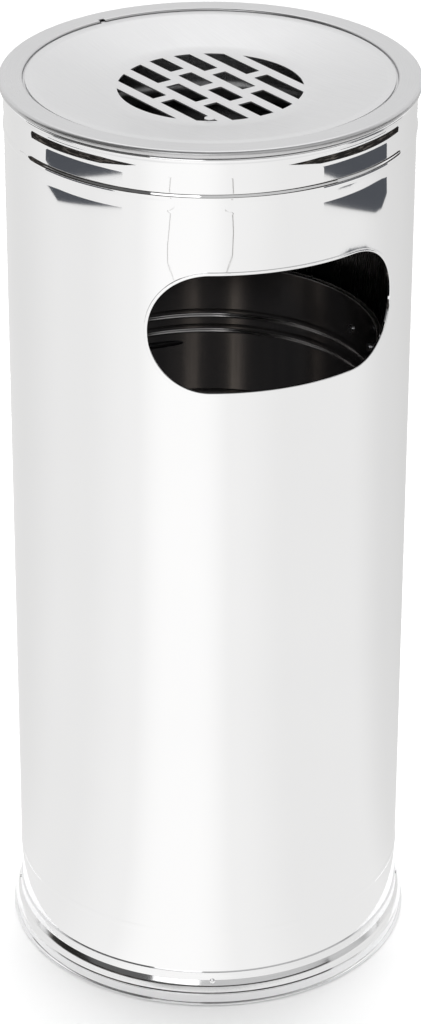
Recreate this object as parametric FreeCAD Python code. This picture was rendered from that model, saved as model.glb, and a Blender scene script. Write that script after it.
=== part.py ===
import FreeCAD, Part
import math
import os

# Ashtray bin. Millimetres, +Z up, origin on the floor at the middle of the foot.
# The side opening faces -Y. Lengths called "drop" are measured down from the rim's top.

Vector = FreeCAD.Vector

# Overall sizes
total_height = 600.0
body_diameter = 254.0
body_sheet = 0.8

# Clearances
seat_gap = 0.2          # between a piece that lifts off and what it stands on
running_gap = 0.1       # radial, handle wire in its eyes
notch_gap = 0.6         # each side of the lid's locating lug
handle_gap = 2.2        # handle grip to the inside of the body
boss_gap = 0.3          # end of each ear's boss to the bend in the handle wire
floor_ring_gap = 0.2    # floor ring to the sheet round it
rib_gap = 0.6           # locating rib to the inside of the liner's bottom edge

# Rim ring
rim_sheet = 1.0
rim_overhang = 3.0      # outer edge of the ring, past the body
rim_width = 14.9        # outer edge of the ring to the hole that takes the lid
rim_skirt = 4.2         # height of its rolled outer edge
rim_roll = 2.2          # outside radius of that rolled edge
rim_return = 1.2        # how far its free edge turns back in
rim_ledge = 5.5         # width of the ledge that carries the lid
lid_recess = 1.2        # the lid's edge lies this far below the rim's top

# Body beads
bead_proud = 0.7
bead_height = 5.0
upper_bead_drop = 30.5
lower_bead_rise = 53.0
collar_proud = 1.6
collar_height = 4.4
collar_drop = 6.4

# Side opening, as cut in the flat sheet before rolling
opening_length = 171.4
opening_height = 78.0
opening_drop = 118.0
trim_sheet = 0.5
trim_flange = 1.6

# Foot
foot_height = 23.2
foot_overhang = 6.0     # the lip on the floor, past the body
foot_clearance = 0.4    # foot ring above the floor
floor_ring_upstand = 3.0
floor_ring_height = 8.0
floor_ring_thickness = 2.6
moulding_top = 15.08    # heights on the foot: the rounded moulding, then the lip on the floor
moulding_bottom = 8.12
flare_wall = 1.16       # the flare stands this far off the moulding where it meets the body
lip_height = 2.09
flare_overhang = 0.84   # overhangs past the body, from the foot's top edge down
moulding_top_overhang = 2.16
moulding_overhang = 3.72
band_overhang = 4.44
base_rise = 12.0        # top of the base plate above the floor
base_sheet = 1.0
locating_rib_height = 3.0
locating_rib_width = 5.0
locating_rib_slope = 1.0
rivet_rise = 16.7       # height of the base rivets
rivet_seat = 2.04       # their seat on the flare, past the body
rivet_radius = 1.2
rivet_head_radius = 1.7
rivet_head_height = 0.6
rivet_count = 4
rivet_turn = -110.0     # direction of the first rivet, degrees from +X

# Lid and its grille
lid_sheet = 1.0
lid_clearance = 1.4
grille_drop = 9.0
grille_radius = 57.5
slot_width = 10.0
bar_width = 7.75
crossbar_width = 7.7
lid_turn = 105.2        # direction of the slots and of the locating lug, degrees from +X
lug_width = 2.8
lug_reach = 2.0
dish_border = 6.7       # flat border round the grille, before the dish rises
lid_edge_border = 1.0   # flat edge of the lid, past the ledge's inner edge
weld_tab_radius = 3.2
weld_tab_inset = 3.6    # middle of the tab inside the grille's edge
weld_tab_proud = 0.6
weld_tab_turn = 142.9   # place of the small welded tab on the grille's edge, from the slots' direction

# Ash bowl
bowl_sheet = 0.8
bowl_drop = 55.0        # floor of the bowl
bowl_taper = 7.0
bowl_corner = 14.0

# Liner
liner_sheet = 0.7
liner_clearance = 20.2  # to the inside of the body
liner_rim_drop = 174.0
liner_roll = 2.8
liner_roll_drop = 4.5
ridge_proud = 1.2
ridge_height = 6.0
upper_ridge_drop = 209.0
upper_ridge_count = 2
upper_ridge_pitch = 11.0
lower_ridge_drop = 268.0
lower_ridge_count = 3
lower_ridge_pitch = 9.0
liner_floor_rise = 6.0  # liner bottom above the liner's own foot

# Handle
pivot_below_rim = 22.0
ear_width = 38.0
ear_height = 17.0
ear_rivet_radius = 1.5
ear_rivet_head = 3.0
ear_rivet_head_height = 1.0
ear_sheet = 2.0
boss_radius = 6.0
eye_floor = 1.2         # metal left behind each blind eye
wire_end_gap = 0.8      # end of the wire to the bottom of its eye
wire_radius = 2.25
wire_bend = 4.0
grip_radius = 5.5
grip_length = 86.0
grip_fit = 0.05         # radial, grip on its wire

# Derived sizes
body_radius = body_diameter / 2
body_inner = body_radius - body_sheet
rim_outer = body_radius + rim_overhang
rim_inner = rim_outer - rim_width
ledge_inner = rim_inner - rim_ledge
ledge_top = total_height - lid_recess - lid_sheet - seat_gap
body_top = total_height - rim_sheet - seat_gap
body_bottom = floor_ring_thickness + foot_clearance
lid_radius = rim_inner - lid_clearance
lid_top = total_height - lid_recess
grille_top = total_height - grille_drop
opening_middle = total_height - opening_drop
base_inner = body_inner - base_sheet
liner_radius = body_inner - liner_clearance
liner_inner = liner_radius - liner_sheet
liner_foot = base_rise + seat_gap
liner_rim = total_height - liner_rim_drop
pivot_height = liner_rim - pivot_below_rim
arch_radius = body_inner - handle_gap - grip_radius
# the hanging handle's grip comes down just clear of the liner's ridges
rest_radius = liner_radius + ridge_proud + grip_radius
bail_droop = math.degrees(math.acos(rest_radius / arch_radius))
boss_reach = arch_radius - wire_bend - boss_gap - liner_radius
band_radius = body_radius + band_overhang

AXIS = Vector(0, 0, 1)
ORIGIN = Vector(0, 0, 0)


# Sections: points are (radius, height) or (radius, height, corner radius) in the XZ plane

def corner_arc(before, point, after, radius):
    """The three points of the arc that rounds one corner of a path."""
    back = (before - point).normalize()
    ahead = (after - point).normalize()
    half_angle = back.getAngle(ahead) / 2
    setback = radius / math.tan(half_angle)
    bisector = (back + ahead).normalize()
    centre = point + bisector * (radius / math.sin(half_angle))
    return point + back * setback, centre - bisector * radius, point + ahead * setback


def rounded_edges(points, radii, closed):
    """Straight edges through points, with an arc at each corner that has a radius."""
    edges = []
    count = len(points)
    start = points[0]
    for index in range(1, count + 1 if closed else count):
        point = points[index % count]
        is_corner = closed or index < count - 1
        radius = radii[index % count] if is_corner else 0
        if radius > 0:
            enter, middle, leave = corner_arc(points[index - 1], point, points[(index + 1) % count], radius)
            edges.append(Part.makeLine(start, enter))
            edges.append(Part.Arc(enter, middle, leave).toShape())
            start = leave
        else:
            edges.append(Part.makeLine(start, point))
            start = point
    return edges


def split_points(points):
    """Points as vectors, and the corner radius of each."""
    places = [Vector(point[0], 0, point[1]) for point in points]
    radii = [point[2] if len(point) > 2 else 0 for point in points]
    return places, radii


def turned(points):
    """A solid of revolution about Z from a closed outline. Its first corner stays sharp."""
    places, radii = split_points(points)
    wire = Part.Wire(rounded_edges(places, radii, closed=True))
    return Part.Face(wire).revolve(ORIGIN, AXIS, 360)


def spun_sheet(points, thickness, bend=0.5):
    """A sheet-metal solid of revolution. The points follow its visible face, and the metal lies to the left of
    the way they run. Corners with no radius of their own are bent to the inside radius bend."""
    places, radii = split_points(points)
    steps = [(after - before).normalize() for before, after in zip(places, places[1:])]
    sides = [Vector(-step.z, 0, step.x) for step in steps]
    hidden = [places[0] + sides[0] * thickness]
    face_radii = [0]
    hidden_radii = [0]
    for index in range(1, len(places) - 1):
        before, after = sides[index - 1], sides[index]
        mitre = (before + after) * (thickness / (1 + before.dot(after)))
        hidden.append(places[index] + mitre)
        turns_left = steps[index - 1].x * steps[index].z - steps[index - 1].z * steps[index].x > 0
        own = radii[index]
        face = max(own, bend + thickness) if turns_left else max(own, bend)
        face_radii.append(face)
        hidden_radii.append(face - thickness if turns_left else face + thickness)
    hidden.append(places[-1] + sides[-1] * thickness)
    face_edges = rounded_edges(places, face_radii + [0], closed=False)
    hidden_edges = rounded_edges(hidden[::-1], (hidden_radii + [0])[::-1], closed=False)
    caps = [Part.makeLine(places[-1], hidden[-1]), Part.makeLine(hidden[0], places[0])]
    wire = Part.Wire(face_edges + [caps[0]] + hidden_edges + [caps[1]])
    return Part.Face(wire).revolve(ORIGIN, AXIS, 360)


def bead(radius, height, proud, length):
    """Four points of a bead swaged outwards in a wall that runs up."""
    flank = length * 0.3
    return [
        (radius, height - length / 2),
        (radius + proud, height - length / 2 + flank),
        (radius + proud, height + length / 2 - flank),
        (radius, height + length / 2),
    ]


def at_angle(shape, degrees):
    """A copy of a shape turned about the bin's axis."""
    return shape.copy().rotate(ORIGIN, AXIS, degrees)


# Side opening: a slot with round ends, cut in flat sheet, that is rolled with it

def rolled_outline(radius, margin):
    """The opening's outline, margin wider all round, lying on a cylinder of this radius."""
    surface = Part.Cylinder()
    surface.Radius = radius
    front = 1.5 * math.pi
    half_height = opening_height / 2 + margin
    straight = (opening_length - opening_height) / 2 / body_radius
    end = half_height / body_radius
    point = FreeCAD.Base.Vector2d
    top, bottom = opening_middle + half_height, opening_middle - half_height
    right, left = front + straight, front - straight
    lines = [
        Part.Geom2d.Line2dSegment(point(right, top), point(left, top)),
        Part.Geom2d.Line2dSegment(point(left, bottom), point(right, bottom)),
    ]
    ends = []
    for place, side in ((left, -1), (right, 1)):
        centre = point(place, opening_middle)
        ellipse = Part.Geom2d.Ellipse2d(point(place, top), point(place + side * end, opening_middle), centre)
        ends.append(Part.Geom2d.ArcOfEllipse2d(ellipse, 0, math.pi))
    order = (lines[0], ends[0], lines[1], ends[1])
    return Part.Wire([curve.toShape(surface) for curve in order])


def punch(shell, margin):
    """A cylinder wall parted along the opening's outline: the slug that comes out, and what is left."""
    reach = 10
    wires = [rolled_outline(body_radius - reach, margin), rolled_outline(body_radius + reach, margin)]
    blade = Part.makeLoft(wires, False, True)
    pieces = shell.generalFuse([blade])[0].Solids
    slug, rest = sorted(pieces, key=lambda piece: piece.Volume)
    return slug, rest


def ring(inner, outer, bottom, top):
    return turned([(inner, bottom), (outer, bottom), (outer, top), (inner, top)])


# Bin body

def make_rivet(outer, inner, radius, head_radius, head_height):
    """A rivet along +X through everything between the radii inner and outer, with a domed head outside."""
    along = Vector(1, 0, 0)
    shank = Part.makeCylinder(radius, outer - inner, Vector(inner, 0, 0), along)
    tail = Part.makeCylinder(head_radius, head_height, Vector(inner - head_height, 0, 0), along)
    ball_radius = (head_radius ** 2 + head_height ** 2) / (2 * head_height)
    ball = Part.makeSphere(ball_radius, Vector(outer + head_height - ball_radius, 0, 0))
    dome = ball.common(Part.makeCylinder(head_radius, head_height, Vector(outer, 0, 0), along))
    return shank.fuse([tail, dome]).removeSplitter()


def make_body_shell():
    path = [(body_radius, body_bottom)]
    path += bead(body_radius, lower_bead_rise, bead_proud, bead_height)
    path += bead(body_radius, total_height - upper_bead_drop, bead_proud, bead_height)
    path += bead(body_radius, total_height - collar_drop, collar_proud, collar_height)
    path += [(body_radius, body_top)]
    return punch(spun_sheet(path, body_sheet), margin=0)[1]


def make_opening_trim():
    """U-section edging: it laps both faces of the sheet and closes over the cut edge."""
    low = opening_middle - opening_height
    high = opening_middle + opening_height
    blank = ring(body_inner - trim_sheet, body_radius + trim_sheet, low, high)
    lapped = punch(blank, margin=trim_flange)[0]
    frame = punch(lapped, margin=-trim_sheet)[0]
    sheet = punch(ring(body_inner, body_radius, low, high), margin=0)[1]
    return frame.cut(sheet)


def make_foot_ring():
    """A spun skirt: a flare under the body, a rounded moulding, an upright band and a lip on the floor."""
    band_inner = band_radius - base_sheet
    outline = [
        (body_radius, foot_height),
        (body_radius, moulding_top + flare_wall),
        (band_inner, moulding_bottom, 4),
        (band_inner, foot_clearance),
        (body_radius + foot_overhang, foot_clearance, 0.6),
        (body_radius + foot_overhang, lip_height, 0.6),
        (band_radius + 0.2, lip_height + 0.5, 0.3),
        (band_radius, moulding_bottom, 0.2),
        (band_radius + 0.4, moulding_bottom + 1.0, 1.2),
        (body_radius + moulding_overhang, moulding_top - 1.0, 1.6),
        (body_radius + moulding_top_overhang, moulding_top + 0.2, 0.3),
        (body_radius + flare_overhang, foot_height, 0.3),
    ]
    return turned(outline)


def make_base_plate():
    """A shallow pan inside the body, with a rib that keeps the liner in the middle."""
    rib_outer = liner_inner - liner_sheet - rib_gap
    rib_inner = rib_outer - locating_rib_width - locating_rib_slope
    rib_top = base_rise + locating_rib_height
    path = [
        (body_inner, body_bottom + 0.5),
        (body_inner, base_rise),
        (rib_outer, base_rise),
        (rib_outer - locating_rib_slope, rib_top),
        (rib_inner, rib_top),
        (rib_inner - locating_rib_slope, base_rise),
        (0, base_rise),
    ]
    return spun_sheet(path, base_sheet)


def make_floor_ring():
    """Black protective ring: a foot under the body's edge and an upstand inside it."""
    lip = base_inner - floor_ring_gap
    inner = lip - floor_ring_upstand
    outer = band_radius - base_sheet - floor_ring_gap
    return turned([
        (inner, 0),
        (outer, 0, 0.8),
        (outer, floor_ring_thickness, 0.4),
        (lip, floor_ring_thickness),
        (lip, floor_ring_height, 0.6),
        (inner, floor_ring_height, 0.6),
    ])


def make_base_rivets():
    rivet = make_rivet(body_radius + rivet_seat, body_inner, rivet_radius, rivet_head_radius, rivet_head_height)
    rivet.translate(Vector(0, 0, rivet_rise))
    return [at_angle(rivet, rivet_turn + 360 * index / rivet_count) for index in range(rivet_count)]


# Ash top

def make_rim_ring():
    """Spun ring: rolled outer edge, flat top, and a ledge inside for the lid, notched for the lid's lug."""
    path = [
        (rim_outer - rim_return, total_height - rim_skirt - 0.4),
        (rim_outer, total_height - rim_skirt + 0.6, 0.5),
        (rim_outer, total_height, rim_roll),
        (rim_inner, total_height, 0.5),
        (rim_inner, ledge_top, 0.4),
        (ledge_inner, ledge_top),
    ]
    blank = spun_sheet(path, rim_sheet, bend=0.3)
    notch_width = lug_width + 2 * notch_gap
    notch_depth = lug_reach + notch_gap
    notch_start = Vector(rim_inner - 1, -notch_width / 2, total_height - rim_skirt - 1)
    notch = Part.makeBox(notch_depth + 1, notch_width, rim_skirt + 2, notch_start)
    return blank.cut(at_angle(notch, lid_turn))


def make_ash_bowl():
    """Deep-drawn bowl, spot-welded by its flange to the underside of the rim ring's ledge."""
    flange_top = ledge_top - rim_sheet
    bowl_top_radius = ledge_inner - 1.0
    bowl_floor = total_height - bowl_drop
    path = [
        (rim_inner - 1.5, flange_top),
        (bowl_top_radius, flange_top, 1.5),
        (bowl_top_radius - bowl_taper, bowl_floor, bowl_corner),
        (0, bowl_floor),
    ]
    return spun_sheet(path, bowl_sheet)


def slots():
    """Columns of slots laid like bricks: each column away from the middle has one slot fewer."""
    pitch = slot_width + bar_width
    columns = int(grille_radius / pitch)
    pieces = []
    for column in range(-columns, columns + 1):
        place = column * pitch
        chord = 2 * math.sqrt(grille_radius ** 2 - place ** 2)
        slot_count = columns + 1 - abs(column)
        length = (chord - (slot_count - 1) * crossbar_width) / slot_count
        reach = slot_width if column in (-columns, columns) else 0
        for index in range(slot_count):
            low = -chord / 2 + index * (length + crossbar_width)
            first, last = index == 0, index == slot_count - 1
            start = low - (grille_radius if first else 0)
            stop = low + length + (grille_radius if last else 0)
            outward = reach if column > 0 else -reach
            left = min(place - slot_width / 2, place - slot_width / 2 + outward)
            width = slot_width + reach
            pieces.append(Part.makeBox(stop - start, width, 20, Vector(start, left, grille_top - 10)))
    bars = Part.makeCompound(pieces)
    return bars.common(Part.makeCylinder(grille_radius, 20, Vector(0, 0, grille_top - 10)))


def make_grille_lid():
    path = [
        (lid_radius, lid_top),
        (ledge_inner - lid_edge_border, lid_top, 10),
        (grille_radius + dish_border, grille_top, 60),
        (0, grille_top),
    ]
    disc = spun_sheet(path, lid_sheet)
    lug_root = 2
    lug_start = Vector(lid_radius - lug_root, -lug_width / 2, lid_top - lid_sheet)
    lug = Part.makeBox(lug_reach + lug_root, lug_width, lid_sheet, lug_start)
    pressed = disc.fuse(lug).cut(slots())
    tab_place = Vector(grille_radius - weld_tab_inset, 0, grille_top - lid_sheet)
    tab = at_angle(Part.makeCylinder(weld_tab_radius, lid_sheet + weld_tab_proud, tab_place), weld_tab_turn)
    return at_angle(pressed.fuse(tab).removeSplitter(), lid_turn)


# Liner and its handle

def make_liner_wall():
    path = [(liner_radius, liner_foot)]
    lower = [total_height - lower_ridge_drop - lower_ridge_pitch * index for index in range(lower_ridge_count)]
    upper = [total_height - upper_ridge_drop - upper_ridge_pitch * index for index in range(upper_ridge_count)]
    for height in sorted(lower + upper):
        path += bead(liner_radius, height, ridge_proud, ridge_height)
    under_roll = liner_rim - liner_sheet
    path += [
        (liner_radius, under_roll, 0.8),
        (liner_radius + liner_roll, under_roll, 0.8),
        (liner_radius + liner_roll, under_roll - liner_roll_drop),
    ]
    return spun_sheet(path, liner_sheet, bend=0.7)


def make_liner_bottom():
    floor = liner_foot + liner_floor_rise
    path = [(liner_inner, liner_foot + 1), (liner_inner, floor, 2), (0, floor)]
    return spun_sheet(path, liner_sheet)


def make_ear_rivets():
    """Two rivets for the ear on the +X side, one each side of its boss."""
    rivet = make_rivet(liner_radius + ear_sheet, liner_inner, ear_rivet_radius, ear_rivet_head, ear_rivet_head_height)
    rivet.translate(Vector(0, 0, pivot_height))
    turn = math.degrees((ear_width / 2 - ear_rivet_head - 1) / liner_radius)
    return [at_angle(rivet, -turn), at_angle(rivet, turn)]


def make_ear():
    """Lug on the +X side: a pad that follows the wall, and a boss with a blind eye for the handle's end."""
    low = pivot_height - ear_height / 2
    pad = ring(liner_radius, liner_radius + ear_sheet, low, low + ear_height)
    outline = Part.makeBox(liner_radius, ear_width, ear_height, Vector(liner_radius / 2, -ear_width / 2, low))
    along = Vector(1, 0, 0)
    boss = Part.makeCylinder(boss_radius, boss_reach - 0.5, Vector(liner_radius + 0.5, 0, pivot_height), along)
    eye_start = Vector(liner_radius + eye_floor, 0, pivot_height)
    eye = Part.makeCylinder(wire_radius + running_gap, boss_reach, eye_start, along)
    ear = pad.common(outline).fuse(boss).cut(eye)
    return ear.cut(Part.makeCompound(make_ear_rivets())).removeSplitter()


def make_bail_wire():
    """Half-round handle. Both ends turn in through a small bend and sit in the ears' eyes."""
    end = liner_radius + eye_floor + wire_end_gap
    bend_across = math.sqrt((arch_radius - wire_bend) ** 2 - wire_bend ** 2)
    bend_centre = Vector(bend_across, wire_bend, 0)
    touch = bend_centre * (arch_radius / (arch_radius - wire_bend))
    bend_start = Vector(bend_across, 0, 0)
    outward = (bend_start + touch) * 0.5 - bend_centre
    bend_middle = bend_centre + outward.normalize() * wire_bend

    def mirrored(point):
        return Vector(-point.x, point.y, point.z)

    path = Part.Wire([
        Part.makeLine(Vector(end, 0, 0), bend_start),
        Part.Arc(bend_start, bend_middle, touch).toShape(),
        Part.Arc(touch, Vector(0, arch_radius, 0), mirrored(touch)).toShape(),
        Part.Arc(mirrored(touch), mirrored(bend_middle), mirrored(bend_start)).toShape(),
        Part.makeLine(mirrored(bend_start), Vector(-end, 0, 0)),
    ])
    section = Part.Wire(Part.makeCircle(wire_radius, Vector(end, 0, 0), Vector(1, 0, 0)))
    return path.makePipeShell([section], True, False)


def make_bail_grip():
    """A moulded tube round the middle of the handle's arch."""
    half_turn = math.degrees(grip_length / 2 / arch_radius)
    bore = Part.Face(Part.Wire(Part.makeCircle(wire_radius + grip_fit, Vector(arch_radius, 0, 0), Vector(0, 1, 0))))
    outside = Part.Face(Part.Wire(Part.makeCircle(grip_radius, Vector(arch_radius, 0, 0), Vector(0, 1, 0))))
    tube = outside.cut(bore).revolve(ORIGIN, AXIS, 2 * half_turn)
    return tube.rotate(ORIGIN, AXIS, 90 - half_turn)


def hung(shape):
    """Handle parts are drawn flat with the arch towards +Y: lower them to their droop and lift them to the pivot."""
    shape.rotate(ORIGIN, Vector(1, 0, 0), -bail_droop)
    shape.translate(Vector(0, 0, pivot_height))
    return shape


def build():
    rivets = Part.makeCompound(make_base_rivets())
    ear_rivets = make_ear_rivets()
    ear_rivets += [at_angle(rivet, 180) for rivet in ear_rivets]
    liner_wall = make_liner_wall().cut(Part.makeCompound(ear_rivets))
    return {
        "body_shell": make_body_shell().cut(rivets),
        "opening_trim": make_opening_trim(),
        "foot_ring": make_foot_ring().cut(rivets),
        "base_plate": make_base_plate().cut(rivets),
        "base_rivets": rivets,
        "floor_ring": make_floor_ring(),
        "rim_ring": make_rim_ring(),
        "ash_bowl": make_ash_bowl(),
        "grille_lid": make_grille_lid(),
        "liner_wall": liner_wall,
        "liner_bottom": make_liner_bottom(),
        "ear_right": make_ear(),
        "ear_left": at_angle(make_ear(), 180),
        "ear_rivets": Part.makeCompound(ear_rivets),
        "bail_wire": hung(make_bail_wire()),
        "bail_grip": hung(make_bail_grip()),
    }


os.makedirs("parts", exist_ok=True)
for name, shape in build().items():
    shape.exportStep("parts/" + name + ".step")
    box = shape.BoundBox
    print(f"{name:14} valid {shape.isValid()} solids {len(shape.Solids)} volume {shape.Volume:10.0f}"
          f"  z {box.ZMin:7.2f} to {box.ZMax:7.2f}  x {box.XMin:7.2f} to {box.XMax:7.2f}")
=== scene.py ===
import math
import bmesh
import bpy
from mathutils import Matrix, Vector


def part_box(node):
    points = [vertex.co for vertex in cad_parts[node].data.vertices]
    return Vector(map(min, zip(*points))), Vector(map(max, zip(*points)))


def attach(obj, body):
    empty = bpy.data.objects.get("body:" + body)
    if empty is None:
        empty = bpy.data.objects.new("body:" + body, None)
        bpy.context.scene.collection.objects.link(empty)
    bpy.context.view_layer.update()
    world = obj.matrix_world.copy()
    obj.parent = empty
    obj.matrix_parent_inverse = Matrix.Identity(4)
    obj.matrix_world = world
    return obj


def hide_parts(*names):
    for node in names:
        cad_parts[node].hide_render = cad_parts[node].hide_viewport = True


# Ashtray bin: polished body with a side opening, satin ring and grille lid over an ash bowl, a liner inside.
# Pieces are drawn in millimetres and scaled to metres as they are made.

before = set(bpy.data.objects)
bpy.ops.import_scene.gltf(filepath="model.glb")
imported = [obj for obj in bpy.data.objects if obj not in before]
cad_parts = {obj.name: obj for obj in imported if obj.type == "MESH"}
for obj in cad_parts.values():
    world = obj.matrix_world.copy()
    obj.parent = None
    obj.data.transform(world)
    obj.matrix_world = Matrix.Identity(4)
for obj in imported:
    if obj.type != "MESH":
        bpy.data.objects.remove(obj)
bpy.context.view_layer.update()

MM = 0.001
MERGE = 0.002 * MM
AXIS = Vector((0, 0, 1))
ORIGIN = Vector((0, 0, 0))
ROUND_STEPS = 360           # faces round the bin
BEND_STEP = math.radians(11)
SHARP = math.radians(32)
EDGE_BREAK = 0.12           # how far a sheared edge is rounded off


def corners(node):
    """Lowest and highest corner of a CAD node, in millimetres."""
    low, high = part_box(node)
    return low / MM, high / MM


# Sheet thicknesses
BODY_SHEET = 0.8
RIM_SHEET = 1.0
LID_SHEET = 1.0
BOWL_SHEET = 0.8
LINER_SHEET = 0.7
BASE_SHEET = 1.0
TRIM_SHEET = 0.5

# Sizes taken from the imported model
rim_high = corners("rim_ring")[1]
lid_low, lid_high = corners("grille_lid")
bowl_low, bowl_high = corners("ash_bowl")
foot_low, foot_high = corners("foot_ring")
base_low, base_high = corners("base_plate")
shell_low, shell_high = corners("body_shell")
trim_low, trim_high = corners("opening_trim")
liner_low, liner_high = corners("liner_wall")
bottom_low, bottom_high = corners("liner_bottom")
floor_ring_low, floor_ring_high = corners("floor_ring")

total_height = rim_high.z
body_inner = base_high.x
body_radius = body_inner + BODY_SHEET

# Beads round the body
BEAD_PROUD = 0.7
LOWER_BEAD_PROUD = 0.3
BEAD_HEIGHT = 5.0
BEAD_BEND = 3.2
UPPER_BEAD_DROP = 30.5
LOWER_BEAD_RISE = 53.0
COLLAR_PROUD = shell_high.x - body_radius
COLLAR_HEIGHT = 4.4
COLLAR_BEND = 1.0
COLLAR_DROP = 6.4
SWELL = 0.16                # how far the wall swells under a rolled bead
SWELL_REACH = 6.5
COLLAR_SWELL = 0.28         # the wall swells under the collar, then necks in to meet it
NECK_REACH = 6.0
NECK_DEPTH = 0.40
NECK_BEND = 42.0
COLLAR_NECK = 0.6           # from the narrowest of the neck up to the collar
COLLAR_NECK_BEND = 1.5
SWELL_BEND = 90.0

# Side opening
TRIM_FLANGE = 1.6
opening_middle = (trim_low.z + trim_high.z) / 2
opening_half_height = (trim_high.z - trim_low.z) / 2 - TRIM_FLANGE
trim_turn = math.asin(trim_high.x / (body_radius + TRIM_SHEET))
opening_half_length = trim_turn * body_radius - TRIM_FLANGE

# Ring and lid
RIM_WIDTH = 14.9
RIM_LEDGE = 5.5
RIM_ROLL = 2.2
RIM_SKIRT = 4.2
rim_inner = rim_high.x - RIM_WIDTH
ledge_inner = rim_inner - RIM_LEDGE
ledge_top = bowl_high.z + RIM_SHEET
lid_top = lid_high.z
grille_top = lid_low.z + LID_SHEET
GRILLE_RADIUS = 57.5
SLOT_WIDTH = 10.0
BAR_WIDTH = 7.75
CROSSBAR_WIDTH = 7.7
SLOT_CORNER = 0.5
LID_TURN = math.radians(105.2)
LUG_WIDTH = 2.8
LUG_REACH = 2.0
NOTCH_GAP = 0.6
TAB_RADIUS = 3.2
TAB_TURN = math.radians(142.9)

# Bowl
BOWL_TAPER = 7.0
BOWL_CORNER = 14.0

# Foot
foot_reach = foot_high.x - body_radius
foot_height = foot_high.z

# Liner and handle
liner_radius = bottom_high.x + LINER_SHEET
LINER_ROLL_DROP = 4.5
RIDGE_PROUD = 1.2
RIDGE_HEIGHT = 6.0
RIDGE_BEND = 2.4
RIDGE_DROPS = (209.0, 220.0, 268.0, 277.0, 286.0)
WIRE_RADIUS = 2.25
WIRE_BEND = 4.0
GRIP_RADIUS = 5.5
GRIP_LENGTH = 86.0
GRIP_FIT = 0.05             # the grip's bore past the wire
GRIP_RIBS = 12
GRIP_RIB_DEPTH = 0.35
ear_low, ear_high = corners("ear_right")
wire_high = corners("bail_wire")[1]
grip_low = corners("bail_grip")[0]
pivot_height = (ear_low.z + ear_high.z) / 2
arch_radius = wire_high.x - WIRE_RADIUS
bail_droop = math.asin((pivot_height - grip_low.z - GRIP_RADIUS) / arch_radius)


# Making shapes

def profile(bm, points, closed=False):
    """A wire in the XZ plane through (radius, height, bend) points, each bend bevelled to its radius."""
    places = [Vector((point[0], 0, point[1])) for point in points]
    verts = [bm.verts.new(place * MM) for place in places]
    for first, second in zip(verts, verts[1:]):
        bm.edges.new((first, second))
    if closed:
        bm.edges.new((verts[-1], verts[0]))
    for index, point in enumerate(points):
        bend = point[2] if len(point) > 2 else 0
        if bend > 0:
            back = places[index - 1] - places[index]
            ahead = places[(index + 1) % len(places)] - places[index]
            turn = math.pi - back.angle(ahead)
            reach = bend * math.tan(turn / 2) * MM
            segments = max(2, round(turn / BEND_STEP))
            bmesh.ops.bevel(bm, geom=[verts[index]], offset=reach, offset_type="OFFSET", segments=segments,
                            profile=0.5, affect="VERTICES", material=-1)


def sheet_bends(path, thickness, inside):
    """The path with each corner bent no tighter than the sheet allows: inside is the least inside radius."""
    bent = [path[0]]
    for before, point, after in zip(path, path[1:], path[2:]):
        across = (point[0] - before[0]) * (after[1] - point[1])
        turn = across - (point[1] - before[1]) * (after[0] - point[0])
        own = point[2] if len(point) > 2 else 0
        least = inside + thickness if turn > 0 else inside
        bent.append((point[0], point[1], max(own, least)))
    return bent + [path[-1]]


def spin_all(bm, angle=2 * math.pi, steps=ROUND_STEPS, full=True, centre=ORIGIN, axis=AXIS):
    """Spins everything in the mesh about an axis."""
    bmesh.ops.spin(bm, geom=bm.verts[:] + bm.edges[:] + bm.faces[:], cent=centre, axis=axis, dvec=(0, 0, 0),
                   angle=angle, space=Matrix.Identity(4), steps=steps, use_merge=full, use_normal_flip=False,
                   use_duplicate=False)


def to_object(name, bm):
    """A new object at the origin that holds the mesh."""
    mesh = bpy.data.meshes.new(name)
    bm.to_mesh(mesh)
    bm.free()
    made = bpy.data.objects.new(name, mesh)
    bpy.context.scene.collection.objects.link(made)
    return made


def turned(name, outline):
    """A solid turned about the bin's axis from a closed outline."""
    bm = bmesh.new()
    profile(bm, outline, closed=True)
    spin_all(bm)
    bmesh.ops.remove_doubles(bm, verts=bm.verts, dist=MERGE)
    bmesh.ops.recalc_face_normals(bm, faces=bm.faces)
    return to_object(name, bm)


def spun_sheet(name, path, thickness, disc=False, inside=0.4):
    """Sheet metal spun about the bin's axis. The path runs along the visible face with the metal on its left;
    a disc closes the hole that the path's last point leaves."""
    bm = bmesh.new()
    profile(bm, sheet_bends(path, thickness, inside))
    spin_all(bm)
    bmesh.ops.remove_doubles(bm, verts=bm.verts, dist=MERGE)
    if disc:
        height = path[-1][1] * MM
        rim = [edge for edge in bm.edges if edge.is_boundary
               and all(abs(vert.co.z - height) < MERGE for vert in edge.verts)
               and edge.verts[0].co.to_2d().length < (path[-1][0] + 0.01) * MM]
        bmesh.ops.contextual_create(bm, geom=rim)
    bmesh.ops.recalc_face_normals(bm, faces=bm.faces)
    across = path[1][0] - path[0][0]
    rise = path[1][1] - path[0][1]
    half_step = math.pi / ROUND_STEPS
    middle = Vector(((path[0][0] + across * 0.1) * math.cos(half_step), 0, path[0][1] + rise * 0.1)) * MM
    nearest = min(bm.faces, key=lambda face: min((vert.co - middle).length for vert in face.verts))
    if nearest.normal.dot(Vector((rise, 0, -across))) < 0:
        bmesh.ops.reverse_faces(bm, faces=bm.faces)
    piece = to_object(name, bm)
    wall = piece.modifiers.new("sheet", "SOLIDIFY")
    wall.thickness = thickness * MM
    wall.offset = -1
    wall.use_even_offset = True
    wall.use_quality_normals = True
    return piece


def settle(piece):
    """Fixes a piece's modifiers into its mesh."""
    graph = bpy.context.evaluated_depsgraph_get()
    mesh = bpy.data.meshes.new_from_object(piece.evaluated_get(graph))
    piece.modifiers.clear()
    piece.data = mesh


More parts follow.
